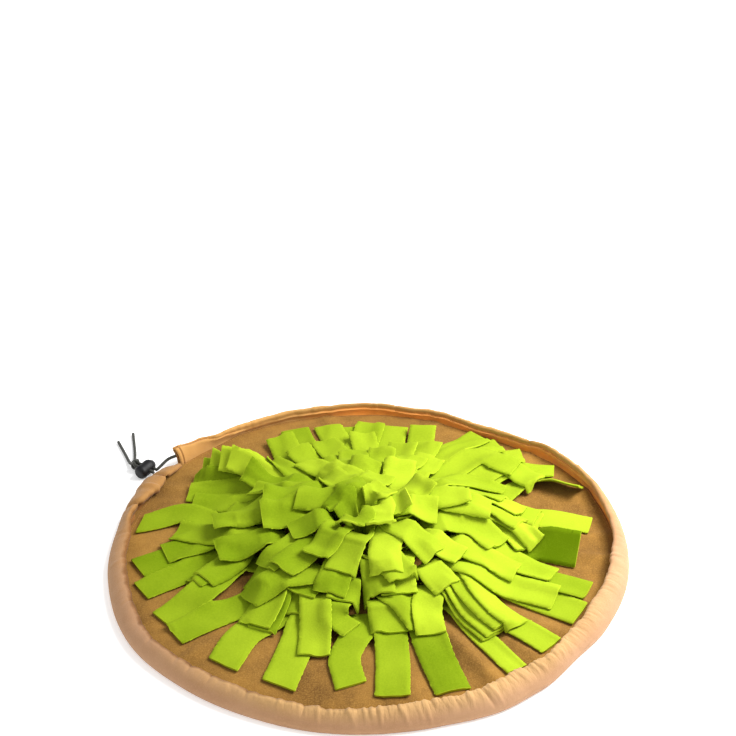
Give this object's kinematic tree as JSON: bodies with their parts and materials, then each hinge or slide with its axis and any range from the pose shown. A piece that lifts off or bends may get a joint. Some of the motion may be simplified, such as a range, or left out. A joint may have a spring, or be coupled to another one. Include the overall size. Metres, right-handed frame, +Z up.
{
  "type": "snuffle mat",
  "caption": "Round cloth snuffle mat: flat disc, raised drawstring casing round its edge, overlapping fleece strips in rings, and a cord lock.",
  "frame": {"origin": "middle of the mat's footprint, on the underside of the disc where it lies on the floor", "axes": "+Z up out of the mat; -Y is the front of the mat; the drawstring's end is at the back left, towards -X and +Y"},
  "size_m": [0.5226, 0.4969, 0.0653],
  "materials": {
    "disc_cloth": "matt woven cloth",
    "casing_cloth": "soft woven cloth with a slight sheen",
    "fleece_lime": "matt napped fleece",
    "cord_black": "matt braided cord",
    "lock_plastic": "semi-gloss black plastic"
  },
  "bodies": {
    "root": {"base_cloth": "disc_cloth", "rim_casing": "casing_cloth", "fleece_ring_1": "fleece_lime", "fleece_ring_2": "fleece_lime", "fleece_ring_3": "fleece_lime", "fleece_ring_4": "fleece_lime", "fleece_ring_5": "fleece_lime", "fleece_tuft": "fleece_lime", "cord_from_tab": "cord_black", "cord_from_left": "cord_black", "cord_lock": "lock_plastic", "cord_knot": "cord_black", "cord_tail_back": "cord_black", "cord_tail_out": "cord_black"}
  },
  "joints": []
}
